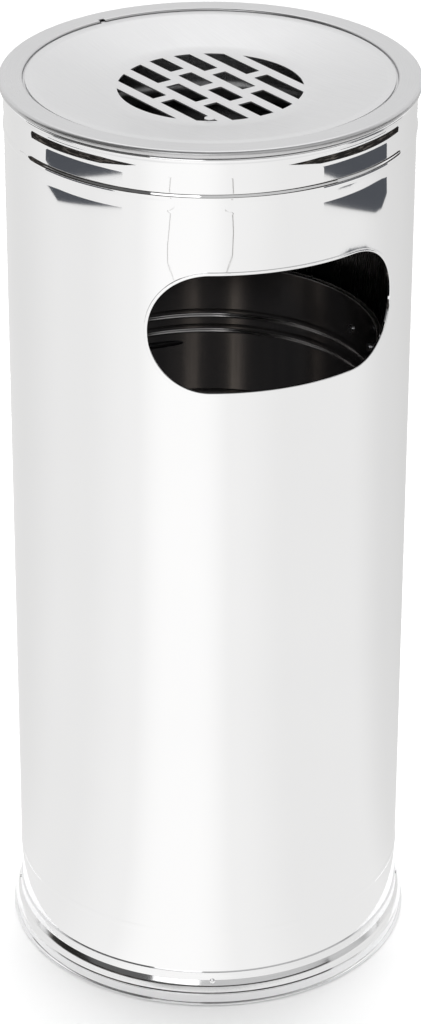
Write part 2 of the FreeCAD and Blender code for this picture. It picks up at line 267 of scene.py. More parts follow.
def combine(piece, tool, operation):
    """Cuts a piece with a tool, adds the tool to it or keeps what they share; the tool is used up."""
    step = piece.modifiers.new("cut", "BOOLEAN")
    step.operation = operation
    step.solver = "EXACT"
    step.object = tool
    settle(piece)
    bpy.data.objects.remove(tool)


def break_edges(piece, width=EDGE_BREAK):
    """Rounds off the sheared edges a little and settles flat faces flat."""
    step = piece.modifiers.new("edges", "BEVEL")
    step.width = width * MM
    step.segments = 2
    step.limit_method = "ANGLE"
    step.angle_limit = math.radians(50)
    settle(piece)


def shade(piece):
    """Smooth shading that keeps creases sharp and large faces flat."""
    piece.data.shade_smooth()
    piece.data.set_sharp_from_angle(angle=SHARP)
    weighted = piece.modifiers.new("normals", "WEIGHTED_NORMAL")
    weighted.keep_sharp = True
    settle(piece)


def block(name, size, centre, turn=0.0, corner=0.0):
    """A box, turned about the bin's axis, with its upright edges rounded."""
    bm = bmesh.new()
    bmesh.ops.create_cube(bm, size=1.0)
    bmesh.ops.scale(bm, vec=Vector(size) * MM, verts=bm.verts)
    if corner:
        upright = [edge for edge in bm.edges if abs(edge.verts[0].co.z - edge.verts[1].co.z) > MERGE]
        bmesh.ops.bevel(bm, geom=upright, offset=corner * MM, offset_type="OFFSET", segments=3, profile=0.5,
                        affect="EDGES", material=-1)
    bmesh.ops.translate(bm, vec=Vector(centre) * MM, verts=bm.verts)
    bmesh.ops.rotate(bm, cent=ORIGIN, matrix=Matrix.Rotation(turn, 3, "Z"), verts=bm.verts)
    return to_object(name, bm)


def dress(piece, body, slot, node, *finishes):
    """Gives a piece its finish and its body, and hides the CAD node that it stands for."""
    if not piece.data.materials:
        for finish in finishes:
            piece.data.materials.append(finish)
    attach(piece, body)
    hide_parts(node)
    return piece


def bead(radius, height, proud, length, bend):
    """Four points of a bead rolled outwards in a wall that runs up."""
    flank = length * 0.3
    return [
        (radius, height - length / 2, bend),
        (radius + proud, height - length / 2 + flank, bend),
        (radius + proud, height + length / 2 - flank, bend),
        (radius, height + length / 2, bend),
    ]


def drawn_in(points, radius, reach, swell):
    """A bead with the slight swell that rolling it leaves in the wall below it."""
    start = (radius, points[0][1] - reach, SWELL_BEND)
    foot_of_bead = (radius + swell, points[0][1], points[0][2])
    return [start, foot_of_bead] + points[1:]


# Side opening: a slot with round ends, drawn flat and rolled with the wall

def opening_ring(bm, margin):
    """The opening's flat outline, margin wider all round, as a loop of vertices in the XZ plane."""
    half_height = opening_half_height + margin
    straight = opening_half_length - opening_half_height
    end_steps = 96
    upright = Matrix.Rotation(math.pi / 2, 4, "X") @ Matrix.Rotation(math.pi / end_steps, 4, "Z")
    made = bmesh.ops.create_circle(bm, radius=half_height * MM, segments=end_steps, matrix=upright)
    verts = made["verts"]
    for vert in verts:
        vert.co.x += math.copysign(straight * MM, vert.co.x)
    long_edges = [edge for edge in bm.edges if edge.calc_length() > straight * MM]
    bmesh.ops.subdivide_edges(bm, edges=long_edges, cuts=48)
    return straight


def roll(flat, radius):
    """A point of the flat sheet after rolling, on the cylinder of this radius."""
    turn = flat.x / (body_radius * MM)
    height = opening_middle * MM + flat.z
    return Vector((radius * MM * math.sin(turn), -radius * MM * math.cos(turn), height))


def outward(flat, straight):
    """The direction away from the opening at a point of its flat outline."""
    nearest = max(-straight * MM, min(straight * MM, flat.x))
    return Vector((flat.x - nearest, 0, flat.z)).normalized()


def opening_cutter():
    """A wedge through the wall, with the opening's outline and radial sides."""
    bm = bmesh.new()
    opening_ring(bm, 0)
    flat = {vert: vert.co.copy() for vert in bm.verts}
    inner_edges = bm.edges[:]
    grown = bmesh.ops.extrude_edge_only(bm, edges=inner_edges)
    outer = [item for item in grown["geom"] if isinstance(item, bmesh.types.BMVert)]
    for vert in outer:
        vert.co = roll(vert.co, body_radius * 1.6)
    for vert, place in flat.items():
        vert.co = roll(place, body_radius * 0.9)
    loops = [edge for edge in bm.edges if edge.is_boundary]
    bmesh.ops.holes_fill(bm, edges=loops, sides=0)
    bmesh.ops.recalc_face_normals(bm, faces=bm.faces)
    return to_object("cutter", bm)


def make_edging():
    """U-section edging: both flanges lap the sheet, and its rounded web covers the cut edge."""
    outer = body_radius + TRIM_SHEET
    inner = body_inner - TRIM_SHEET
    web = 0.5
    section = [
        (TRIM_FLANGE, body_radius, 0), (TRIM_FLANGE, outer, 0.3), (-web, outer, 0.42),
        (-web, inner, 0.42), (TRIM_FLANGE, inner, 0.3), (TRIM_FLANGE, body_inner, 0),
        (0, body_inner, 0), (0, body_radius, 0),
    ]
    shape = bmesh.new()
    profile(shape, section, closed=True)
    start = min(shape.verts, key=lambda vert: (vert.co - Vector((TRIM_FLANGE, 0, body_radius)) * MM).length)
    order = [start]
    while True:
        following = [edge.other_vert(order[-1]) for edge in order[-1].link_edges]
        fresh = [vert for vert in following if vert not in order]
        if not fresh:
            break
        order.append(fresh[0])
    steps = [(vert.co.x / MM, vert.co.z / MM) for vert in order]
    shape.free()
    bm = bmesh.new()
    straight = opening_ring(bm, 0)
    flat = {vert: vert.co.copy() for vert in bm.verts}
    first = bm.edges[:]
    layer = first
    places = flat
    for margin, radius in steps:
        for vert, place in places.items():
            vert.co = roll(place + outward(place, straight) * margin * MM, radius)
        if (margin, radius) == steps[-1]:
            break
        grown = bmesh.ops.extrude_edge_only(bm, edges=layer)["geom"]
        layer = [item for item in grown if isinstance(item, bmesh.types.BMEdge)]
        next_places = {}
        for item in grown:
            if isinstance(item, bmesh.types.BMVert):
                joined = [edge.other_vert(item) for edge in item.link_edges]
                parent = next(vert for vert in joined if vert in places)
                next_places[item] = places[parent]
        places = next_places
        layer = [edge for edge in layer if all(vert in places for vert in edge.verts)]
    bmesh.ops.bridge_loops(bm, edges=first + layer)
    bmesh.ops.recalc_face_normals(bm, faces=bm.faces)
    edging = to_object("opening_edging", bm)
    shade(edging)
    return dress(edging, "bin", "mirror_steel", "opening_trim", polished)


# Finishes

def new_finish(name):
    """A new material, its node tree, its shader and its Object coordinates."""
    material = bpy.data.materials.new(name)
    material.use_nodes = True
    tree = material.node_tree
    place = tree.nodes.new("ShaderNodeTexCoord").outputs["Object"]
    return material, tree, tree.nodes["Principled BSDF"], place


def node(tree, kind, inputs, **settings):
    """Adds a node, with its settings and its inputs, which are values or other nodes' outputs."""
    made = tree.nodes.new(kind)
    for name, value in settings.items():
        setattr(made, name, value)
    for name, value in inputs.items():
        if isinstance(value, bpy.types.NodeSocket):
            tree.links.new(value, made.inputs[name])
        else:
            made.inputs[name].default_value = value
    return made


def vector_of(tree, operation, inputs):
    """The vector that a vector operation gives."""
    return node(tree, "ShaderNodeVectorMath", inputs, operation=operation).outputs["Vector"]


def number_of(tree, operation, inputs):
    """The number that an operation on numbers gives."""
    return node(tree, "ShaderNodeMath", inputs, operation=operation).outputs["Value"]


def spread(tree, value, low, high, start=0.3, stop=0.7):
    """Maps a noise value onto the range from low to high."""
    inputs = {"Value": value, "From Min": start, "From Max": stop, "To Min": low, "To Max": high}
    return node(tree, "ShaderNodeMapRange", inputs).outputs["Result"]


def noise(tree, vector, scale, detail=3.0, roughness=0.55):
    inputs = {"Vector": vector, "Scale": scale, "Detail": detail, "Roughness": roughness}
    return node(tree, "ShaderNodeTexNoise", inputs).outputs["Fac"]


def stretched(tree, vector, scale):
    """Coordinates scaled by a different amount along each axis, so that noise becomes grain."""
    return node(tree, "ShaderNodeMapping", {"Vector": vector, "Scale": scale}).outputs["Vector"]


def mix_colour(tree, value, dark, light):
    """A colour between two colours, by a value from 0 to 1."""
    made = tree.nodes.new("ShaderNodeMix")
    made.data_type = "RGBA"
    tree.links.new(value, made.inputs[0])
    made.inputs[6].default_value = (*dark, 1)
    made.inputs[7].default_value = (*light, 1)
    return made.outputs[2]


def bump(tree, height, distance, strength=1.0, normal=None):
    inputs = {"Height": height, "Distance": distance, "Strength": strength}
    if normal is not None:
        inputs["Normal"] = normal
    return node(tree, "ShaderNodeBump", inputs).outputs["Normal"]


def round_coordinates(tree, place, across, along):
    """Coordinates for grain that runs round the bin's axis: fine across it, slow along it."""
    flat = vector_of(tree, "MULTIPLY", {0: place, 1: (1, 1, 0)})
    radius = node(tree, "ShaderNodeVectorMath", {0: flat}, operation="LENGTH").outputs["Value"]
    parts = node(tree, "ShaderNodeSeparateXYZ", {"Vector": vector_of(tree, "NORMALIZE", {0: flat})})
    rise = node(tree, "ShaderNodeSeparateXYZ", {"Vector": place}).outputs["Z"]
    depth = number_of(tree, "ADD", {0: radius, 1: rise})
    fine = number_of(tree, "MULTIPLY", {0: depth, 1: across})
    inputs = {"X": fine, "Y": parts.outputs["X"], "Z": parts.outputs["Y"]}
    joined = node(tree, "ShaderNodeCombineXYZ", inputs)
    return stretched(tree, joined.outputs["Vector"], (1, along, along))


SEAM_ROUGHNESS = 0.3        # what the weld seam adds to the roughness
SEAM_RELIEF = 0.04


def weld_seam(tree, place, width):
    """1 along the body's upright weld at the back, 0 elsewhere."""
    parts = node(tree, "ShaderNodeSeparateXYZ", {"Vector": place})
    across = number_of(tree, "ABSOLUTE", {0: parts.outputs["X"]})
    line = spread(tree, across, 1, 0, 0, width)
    behind = number_of(tree, "GREATER_THAN", {0: parts.outputs["Y"], 1: 0.05})
    return number_of(tree, "MULTIPLY", {0: line, 1: behind})


def steel(name, dark, light, low, high, grain, grain_depth, haze_scale=9.0, wave_depth=0.0, grain_share=1.0,
          seam_width=0.0):
    """Bare steel: clouded roughness, a grain in roughness and relief, and a slow unevenness of the sheet.
    Grain is a function of the tree and the coordinates that gives the grain's value."""
    material, tree, shader, place = new_finish(name)
    shader.inputs["Metallic"].default_value = 1.0
    haze = noise(tree, place, haze_scale, detail=5.0)
    lines = grain(tree, place)
    blend = number_of(tree, "MULTIPLY_ADD", {0: lines, 1: grain_share, 2: haze})
    middle = 0.5 + 0.5 * grain_share
    cloud = spread(tree, blend, 0, 1, middle - 0.3, middle + 0.3)
    rough = spread(tree, cloud, low, high, 0, 1)
    relief = bump(tree, lines, grain_depth * MM)
    if wave_depth:
        relief = bump(tree, noise(tree, place, 7.0, detail=1.0), wave_depth * MM, normal=relief)
    if seam_width:
        seam = weld_seam(tree, place, seam_width * MM)
        rough = number_of(tree, "MULTIPLY_ADD", {0: seam, 1: SEAM_ROUGHNESS, 2: rough})
        relief = bump(tree, seam, SEAM_RELIEF * MM, normal=relief)
    tree.links.new(rough, shader.inputs["Roughness"])
    tree.links.new(mix_colour(tree, cloud, light, dark), shader.inputs["Base Color"])
    tree.links.new(relief, shader.inputs["Normal"])
    return material


def upright_grain(fine, slow):
    return lambda tree, place: noise(tree, stretched(tree, place, (fine, fine, slow)), 1.0, detail=2.0)


def round_grain(fine, slow):
    return lambda tree, place: noise(tree, round_coordinates(tree, place, fine, slow), 1.0, detail=3.0)


def straight_grain(fine, slow, turn):
    def made(tree, place):
        inputs = {"Vector": place, "Rotation": (0, 0, -turn)}
        turned_place = node(tree, "ShaderNodeMapping", inputs).outputs["Vector"]
        return noise(tree, stretched(tree, turned_place, (slow, fine, slow)), 1.0, detail=3.0)
    return made


def moulded(name, colour, roughness, grain_scale, grain_depth):
    """Moulded plastic or rubber: a fine spark texture and slightly uneven gloss."""
    material, tree, shader, place = new_finish(name)
    cloud = noise(tree, place, 60.0, detail=4.0)
    paler = tuple(channel * 1.35 + 0.004 for channel in colour)
    tree.links.new(mix_colour(tree, spread(tree, cloud, 0, 1), colour, paler), shader.inputs["Base Color"])
    tree.links.new(spread(tree, cloud, roughness - 0.08, roughness + 0.08), shader.inputs["Roughness"])
    spark = noise(tree, place, grain_scale, detail=2.0)
    tree.links.new(bump(tree, spark, grain_depth * MM), shader.inputs["Normal"])
    return material


polished = steel("polished_steel", (0.895, 0.895, 0.90), (0.915, 0.915, 0.92), 0.018, 0.034,
                 upright_grain(1400, 12), 0.00003, wave_depth=0.03, grain_share=0.12, seam_width=0.7)
inner_face = steel("mill_finish_steel", (0.58, 0.57, 0.56), (0.70, 0.69, 0.68), 0.20, 0.32,
                   upright_grain(900, 20), 0.004)
satin_foot = steel("satin_foot_steel", (0.84, 0.84, 0.845), (0.89, 0.89, 0.895), 0.07, 0.13,
                   round_grain(2200, 6), 0.001)
satin_ring = steel("satin_ring_steel", (0.615, 0.615, 0.62), (0.665, 0.665, 0.67), 0.26, 0.36,
                   round_grain(2600, 5), 0.004)
satin_lid = steel("satin_lid_steel", (0.685, 0.685, 0.69), (0.735, 0.735, 0.74), 0.30, 0.40,
                  straight_grain(2400, 40, LID_TURN), 0.004)
drawn = steel("drawn_steel", (0.34, 0.34, 0.345), (0.44, 0.44, 0.445), 0.16, 0.28,
              upright_grain(1200, 15), 0.003, haze_scale=14.0)
liner_steel = steel("liner_steel", (0.46, 0.45, 0.45), (0.56, 0.55, 0.55), 0.12, 0.20,
                    upright_grain(1500, 10), 0.002, haze_scale=12.0, wave_depth=0.15)
base_steel = steel("base_steel", (0.52, 0.53, 0.54), (0.66, 0.67, 0.68), 0.24, 0.36,
                   round_grain(1800, 4), 0.004)
zinc = steel("zinc_plated_steel", (0.55, 0.56, 0.58), (0.70, 0.71, 0.73), 0.22, 0.36,
             upright_grain(700, 200), 0.004, haze_scale=40.0)
rubber = moulded("black_rubber", (0.018, 0.018, 0.019), 0.62, 2600.0, 0.03)
plastic = moulded("black_grip_plastic", (0.022, 0.022, 0.024), 0.45, 3200.0, 0.02)


# Bin

def true_wall_normals(piece):
    """Shades the plain wall as a true cylinder, so that its reflections run clean up to the cut."""
    shade(piece)
    mesh = piece.data
    on_wall = set()
    for face in mesh.polygons:
        centre = Vector((face.center.x, face.center.y, 0)).normalized()
        if abs(face.normal.z) < 0.002 and abs(face.normal.dot(centre)) > 0.99:
            on_wall.update(face.vertices)
    normals = [tuple(corner.vector) for corner in mesh.corner_normals]
    for face in mesh.polygons:
        centre = Vector((face.center.x, face.center.y, 0)).normalized()
        facing = face.normal.dot(centre)
        if abs(facing) > 0.5:
            for index in face.loop_indices:
                vert = mesh.loops[index].vertex_index
                if vert in on_wall:
                    place = mesh.vertices[vert].co
                    radial = Vector((place.x, place.y, 0)).normalized()
                    normals[index] = tuple(radial * math.copysign(1, facing))
    mesh.normals_split_custom_set(normals)


def make_body():
    path = [(body_radius, shell_low.z)]
    path += bead(body_radius, LOWER_BEAD_RISE, LOWER_BEAD_PROUD, BEAD_HEIGHT, BEAD_BEND)
    upper = bead(body_radius, total_height - UPPER_BEAD_DROP, BEAD_PROUD, BEAD_HEIGHT, BEAD_BEND)
    path += drawn_in(upper, body_radius, SWELL_REACH, SWELL)
    collar = bead(body_radius, total_height - COLLAR_DROP, COLLAR_PROUD, COLLAR_HEIGHT, COLLAR_BEND)
    neck = collar[0][1] - COLLAR_NECK
    path += [
        (body_radius + COLLAR_SWELL, neck - NECK_REACH, NECK_BEND),
        (body_radius - NECK_DEPTH, neck, COLLAR_NECK_BEND),
    ]
    path += collar[1:] + [(body_radius, shell_high.z)]
    body = spun_sheet("polished_body", path, BODY_SHEET)
    settle(body)
    combine(body, opening_cutter(), "DIFFERENCE")
    true_wall_normals(body)
    body.data.materials.append(polished)
    body.data.materials.append(inner_face)
    for face in body.data.polygons:
        centre = Vector((face.center.x, face.center.y, 0))
        face.material_index = 1 if face.normal.dot(centre) < 0 else 0
    return dress(body, "bin", "mirror_steel", "body_shell", polished)


def make_foot():
    """A flare under the body, a rounded moulding, an upright band and a lip on the floor."""
    band = body_radius + foot_reach * 0.74
    moulding_top = foot_height * 0.76
    moulding_bottom = foot_height * 0.35
    lip_top = foot_height * 0.09
    outline = [
        (body_radius, foot_height),
        (body_radius, foot_height * 0.8),
        (band - BASE_SHEET, moulding_bottom, 4),
        (band - BASE_SHEET, foot_low.z),
        (body_radius + foot_reach, foot_low.z, 0.6),
        (body_radius + foot_reach, lip_top, 0.6),
        (band + 0.2, lip_top + 0.5, 0.3),
        (band, moulding_bottom, 0.3),
        (band + 0.5, moulding_bottom + 0.8, 0.6),
        (band, moulding_bottom + 1.9, 1.0),
        (body_radius + foot_reach * 0.52, moulding_top - 3.4, 8.0),
        (body_radius + foot_reach * 0.20, moulding_top, 0.5),
        (body_radius + foot_reach * 0.14, foot_height, 0.3),
    ]
    foot = turned("foot_moulding", outline)
    shade(foot)
    return dress(foot, "bin", "satin_steel", "foot_ring", satin_foot)


def make_floor_ring():
    inner = body_inner - BASE_SHEET - 3.2
    lip = body_inner - BASE_SHEET - 0.2
    ledge = shell_low.z - foot_low.z
    outline = [
        (inner, floor_ring_low.z),
        (floor_ring_high.x, floor_ring_low.z, 0.8),
        (floor_ring_high.x, ledge, 0.4),
        (lip, ledge, 0.2),
        (lip, floor_ring_high.z, 0.6),
        (inner, floor_ring_high.z, 0.6),
    ]
    ring = turned("protective_floor_ring", outline)
    shade(ring)
    return dress(ring, "bin", "black_rubber", "floor_ring", rubber)


def make_base_plate():
    rib_outer = bottom_high.x - LINER_SHEET - 0.6
    rib_width = 5.0
    slope = 1.0
    rise = base_high.z - 3.0
    path = [
        (body_inner, base_low.z),
        (body_inner, rise, 1.5),
        (rib_outer, rise, 1.0),
        (rib_outer - slope, base_high.z, 1.0),
        (rib_outer - slope - rib_width, base_high.z, 1.0),
        (rib_outer - 2 * slope - rib_width, rise, 1.0),
        (20, rise),
    ]
    plate = spun_sheet("base_pan", path, BASE_SHEET, disc=True)
    settle(plate)
    break_edges(plate)
    shade(plate)
    return dress(plate, "bin", "zinc_steel", "base_plate", base_steel)


# Ash top

def make_rim():
    """Rolled outer edge, flat top and the ledge for the lid, notched for the lid's lug."""
    return_lip = 1.2
    path = [
        (rim_high.x - return_lip, total_height - RIM_SKIRT - 0.4),
        (rim_high.x, total_height - RIM_SKIRT + 0.6, 0.5),
        (rim_high.x, total_height, RIM_ROLL),
        (rim_inner, total_height, 0.5),
        (rim_inner, ledge_top, 0.4),
        (ledge_inner, ledge_top),
    ]
    rim = spun_sheet("rim", path, RIM_SHEET, inside=0.3)
    settle(rim)
    width = LUG_WIDTH + 2 * NOTCH_GAP
    depth = LUG_REACH + NOTCH_GAP + 1
    centre = (rim_inner - 1 + depth / 2, 0, total_height - RIM_SKIRT / 2)
    combine(rim, block("notch", (depth, width, RIM_SKIRT + 6), centre, LID_TURN), "DIFFERENCE")
    break_edges(rim)
    shade(rim)
    return dress(rim, "ash_top", "satin_steel", "rim_ring", satin_ring)


def make_bowl():
    top_radius = ledge_inner - 1.0
    floor = bowl_low.z + BOWL_SHEET
    path = [
        (bowl_high.x, bowl_high.z),
        (top_radius, bowl_high.z, 1.5),
        (top_radius - BOWL_TAPER, floor, BOWL_CORNER),
        (20, floor),
    ]
    bowl = spun_sheet("bowl", path, BOWL_SHEET, disc=True)
    settle(bowl)
    break_edges(bowl)
    shade(bowl)
    return dress(bowl, "ash_top", "drawn_steel", "ash_bowl", drawn)


# Lid

def grille_slots():
    """Columns of slots laid like bricks: each column away from the middle has one slot fewer."""
    pitch = SLOT_WIDTH + BAR_WIDTH
    columns = int(GRILLE_RADIUS / pitch)
    depth = 12.0
    pieces = []
    for column in range(-columns, columns + 1):
        place = column * pitch
        chord = 2 * math.sqrt(GRILLE_RADIUS ** 2 - place ** 2)
        count = columns + 1 - abs(column)
        length = (chord - (count - 1) * CROSSBAR_WIDTH) / count
        reach = SLOT_WIDTH if abs(column) == columns else 0
        outward_reach = math.copysign(reach, column)
        for index in range(count):
            start = -chord / 2 + index * (length + CROSSBAR_WIDTH)
            stop = start + length
            start -= GRILLE_RADIUS if index == 0 else 0
            stop += GRILLE_RADIUS if index == count - 1 else 0
            size = (stop - start, SLOT_WIDTH + reach, depth)
            centre = ((start + stop) / 2, place + outward_reach / 2, grille_top)
            pieces.append(block("slot", size, centre, LID_TURN, corner=SLOT_CORNER))
    with bpy.context.temp_override(active_object=pieces[0], selected_editable_objects=pieces):
        bpy.ops.object.join()
    limit = turned("limit", [(0.0, grille_top - depth), (GRILLE_RADIUS, grille_top - depth),
                             (GRILLE_RADIUS, grille_top + depth), (0.0, grille_top + depth)])
    combine(pieces[0], limit, "INTERSECT")
    return pieces[0]


def make_lid():
    dish_corner = GRILLE_RADIUS + 6.7
    path = [
        (lid_high.x, lid_top),
        (ledge_inner - 1.0, lid_top, 10),
        (dish_corner, grille_top, 60),
        (GRILLE_RADIUS + 1.0, grille_top),
    ]
    lid = spun_sheet("lid_and_grille", path, LID_SHEET, disc=True)
    settle(lid)
    root = 2.0
    lug_centre = (lid_high.x + (LUG_REACH - root) / 2, 0, lid_top - LID_SHEET / 2)
    lug_size = (LUG_REACH + root, LUG_WIDTH, LID_SHEET * 0.98)
    combine(lid, block("lug", lug_size, lug_centre, LID_TURN, corner=0.4), "UNION")
    combine(lid, grille_slots(), "DIFFERENCE")
    bm = bmesh.new()
    tab_height = LID_SHEET + 0.6
    bmesh.ops.create_cone(bm, cap_ends=True, segments=48, radius1=TAB_RADIUS * MM, radius2=TAB_RADIUS * MM,
                          depth=tab_height * MM)
    top_edges = [edge for edge in bm.edges if all(vert.co.z > 0 for vert in edge.verts)]
    bmesh.ops.bevel(bm, geom=top_edges, offset=0.35 * MM, offset_type="OFFSET", segments=3, profile=0.5,
                    affect="EDGES", material=-1)
    turn = LID_TURN + TAB_TURN
    distance = (GRILLE_RADIUS - 3.6) * MM
    height = (grille_top - LID_SHEET + tab_height / 2) * MM
    place = Vector((distance * math.cos(turn), distance * math.sin(turn), height))
    bmesh.ops.translate(bm, vec=place, verts=bm.verts)
    combine(lid, to_object("tab", bm), "UNION")
    break_edges(lid, 0.1)
    shade(lid)
    return dress(lid, "lid", "satin_steel", "grille_lid", satin_lid)


# Liner

def make_liner_side():
    path = [(liner_radius, liner_low.z)]
    for drop in sorted(RIDGE_DROPS, reverse=True):
        path += bead(liner_radius, total_height - drop, RIDGE_PROUD, RIDGE_HEIGHT, RIDGE_BEND)
    under_roll = liner_high.z - LINER_SHEET
    path += [
        (liner_radius, under_roll, 0.8),
        (liner_high.x - LINER_SHEET, under_roll, 0.8),
        (liner_high.x - LINER_SHEET, under_roll - LINER_ROLL_DROP),
    ]
    wall = spun_sheet("liner_side", path, LINER_SHEET)
    settle(wall)
    break_edges(wall)
    shade(wall)
    return dress(wall, "liner", "drawn_steel", "liner_wall", liner_steel)


def make_liner_floor():
    floor = bottom_high.z
    path = [(bottom_high.x, bottom_low.z), (bottom_high.x, floor, 2), (20, floor)]
    pan = spun_sheet("liner_floor", path, LINER_SHEET, disc=True)
    settle(pan)
    break_edges(pan)
    shade(pan)
    return dress(pan, "liner", "drawn_steel", "liner_bottom", liner_steel)


def hang(bm):
    """Lowers a handle part, drawn flat with its arch to the back, to its droop and lifts it to the pivot."""
    bmesh.ops.rotate(bm, cent=ORIGIN, matrix=Matrix.Rotation(-bail_droop, 3, "X"), verts=bm.verts)
    bmesh.ops.translate(bm, vec=Vector((0, 0, pivot_height * MM)), verts=bm.verts)


def swing_ring(bm, verts, edges, centre, angle, steps):
    """Sweeps a ring of edges about an upright axis and gives the ring at the far end."""
    made = bmesh.ops.spin(bm, geom=verts + edges, cent=centre, axis=AXIS, dvec=(0, 0, 0), angle=angle,
                          space=Matrix.Identity(4), steps=steps, use_merge=False, use_normal_flip=False,
                          use_duplicate=False)
    last = made["geom_last"]
    return ([item for item in last if isinstance(item, bmesh.types.BMVert)],
            [item for item in last if isinstance(item, bmesh.types.BMEdge)])


def push_ring(bm, edges, step):
    """Extrudes a ring of edges along a straight run and gives the ring at the far end."""
    made = bmesh.ops.extrude_edge_only(bm, edges=edges)["geom"]
    verts = [item for item in made if isinstance(item, bmesh.types.BMVert)]
    bmesh.ops.translate(bm, vec=step, verts=verts)
    return verts, [edge for edge in made if isinstance(edge, bmesh.types.BMEdge)
                   and all(vert in verts for vert in edge.verts)]


def size_round(bm, verts, centre, radius):
    """Scales a ring of vertices about its centre to a radius."""
    size = (verts[0].co - centre).length / MM
    scale = Vector((1, 1, 1)) * (radius / size)
    bmesh.ops.scale(bm, vec=scale, space=Matrix.Translation(-centre), verts=verts)


def make_wire():
    """Round wire: both ends turn in through a small bend and sit in the ears' eyes."""
    end = liner_radius + 2.0
    across = math.sqrt((arch_radius - WIRE_BEND) ** 2 - WIRE_BEND ** 2)
    bend_turn = math.pi / 2 + math.atan2(WIRE_BEND, across)
    bm = bmesh.new()
    facing_x = Matrix.Translation(Vector((end, 0, 0)) * MM) @ Matrix.Rotation(math.pi / 2, 4, "Y")
    verts = bmesh.ops.create_circle(bm, segments=28, radius=WIRE_RADIUS * MM, matrix=facing_x)["verts"]
    run = Vector((across - end, 0, 0)) * MM
    start_edges = bm.edges[:]
    verts, edges = push_ring(bm, start_edges, run)
    verts, edges = swing_ring(bm, verts, edges, Vector((across, WIRE_BEND, 0)) * MM, bend_turn, 14)
    arch_turn = math.pi - 2 * math.atan2(WIRE_BEND, across)
    verts, edges = swing_ring(bm, verts, edges, ORIGIN, arch_turn, 120)
    verts, edges = swing_ring(bm, verts, edges, Vector((-across, WIRE_BEND, 0)) * MM, bend_turn, 14)
    verts, edges = push_ring(bm, edges, run)
    bmesh.ops.holes_fill(bm, edges=[edge for edge in bm.edges if edge.is_boundary], sides=0)
    bmesh.ops.recalc_face_normals(bm, faces=bm.faces)
    hang(bm)
    wire = to_object("handle_wire", bm)
    shade(wire)
    return dress(wire, "bail", "zinc_steel", "bail_wire", zinc)


def make_grip():
    """A tube moulded round the middle of the wire, with shallow ribs and rounded ends."""
    grip_turn = GRIP_LENGTH / arch_radius
    bm = bmesh.new()
    start_turn = math.pi / 2 - grip_turn / 2
    facing_y = Matrix.Translation(Vector((arch_radius, 0, 0)) * MM) @ Matrix.Rotation(math.pi / 2, 4, "X")
    bore_radius = WIRE_RADIUS + GRIP_FIT
    verts = bmesh.ops.create_circle(bm, segments=40, radius=bore_radius * MM, matrix=facing_y)["verts"]
    bmesh.ops.rotate(bm, cent=ORIGIN, matrix=Matrix.Rotation(start_turn, 3, "Z"), verts=bm.verts)
    first = bm.edges[:]
    edges = first
    steps = 96
    for step in range(steps + 1):
        share = step / steps
        from_end = min(1.0, min(share, 1 - share) * 24)
        end_round = math.sqrt(1 - (1 - from_end) ** 2)
        rib = GRIP_RIB_DEPTH * (0.5 - 0.5 * math.cos(2 * math.pi * GRIP_RIBS * share))
        wanted = (GRIP_RADIUS - rib) * (0.82 + 0.18 * end_round)
        turn = start_turn + grip_turn * share
        centre = Vector((arch_radius * math.cos(turn), arch_radius * math.sin(turn), 0)) * MM
        if step == 0:
            made = bmesh.ops.extrude_edge_only(bm, edges=edges)["geom"]
            verts = [item for item in made if isinstance(item, bmesh.types.BMVert)]
            edges = [edge for edge in made if isinstance(edge, bmesh.types.BMEdge)
                     and all(vert in verts for vert in edge.verts)]
        else:
            verts, edges = swing_ring(bm, verts, edges, ORIGIN, grip_turn / steps, 1)
        size_round(bm, verts, centre, wanted)
    made = bmesh.ops.extrude_edge_only(bm, edges=edges)["geom"]
    verts = [item for item in made if isinstance(item, bmesh.types.BMVert)]
    size_round(bm, verts, centre, bore_radius)
    loops = [edge for edge in bm.edges if edge.is_boundary]
    bmesh.ops.bridge_loops(bm, edges=loops)
    bmesh.ops.recalc_face_normals(bm, faces=bm.faces)
    hang(bm)
    grip = to_object("handle_grip", bm)
    shade(grip)
    return dress(grip, "bail", "grip_plastic", "bail_grip", plastic)


# Studio

CAMERA_TURN = math.radians(-21.3)
CAMERA_PITCH = math.radians(27.655)
CAMERA_DISTANCE = 2.0801
CAMERA_ABOVE_RIM = 0.7866
CAMERA_YAW = math.radians(-0.022)
CAMERA_ROLL = math.radians(0.172)
CAMERA_LENS = 126.91

GLOW_NEAR = 0.150           # the lit floor's glow starts past the foot's own shadow
GLOW_FAR = 8.0
GLOW_HEIGHT = 0.001
CARD_HEIGHT = 0.003
BACK_TONE = 0.93            # what the ring and the lid see behind the bin
FRONT_TONE = 0.12
FRONT_RIGHT_TONE = 0.60
HIGH_TONE = 1.5
INSIDE_GAP = 8.0            # cards inside the liner, clear of its wall
INSIDE_TOP = 0.32


def place_camera():
    camera = bpy.data.objects.new("camera", bpy.data.cameras.new("camera"))
    camera.data.lens = CAMERA_LENS
    camera.data.sensor_width = 36.0
    camera.data.clip_end = 60.0
    height = total_height * MM + CAMERA_ABOVE_RIM
    place = heading(0) * CAMERA_DISTANCE + AXIS * height
    turn = Matrix.Rotation(CAMERA_TURN + CAMERA_YAW, 4, "Z")
    tilt = Matrix.Rotation(math.pi / 2 - CAMERA_PITCH, 4, "X")
    camera.matrix_world = Matrix.Translation(place) @ turn @ tilt @ Matrix.Rotation(CAMERA_ROLL, 4, "Z")
    bpy.context.scene.collection.objects.link(camera)
    bpy.context.scene.camera = camera


def heading(degrees):
    """The level direction at this angle to the right of the camera, seen from the bin."""
    turn = CAMERA_TURN + math.radians(degrees)
    return Vector((math.sin(turn), -math.cos(turn), 0))


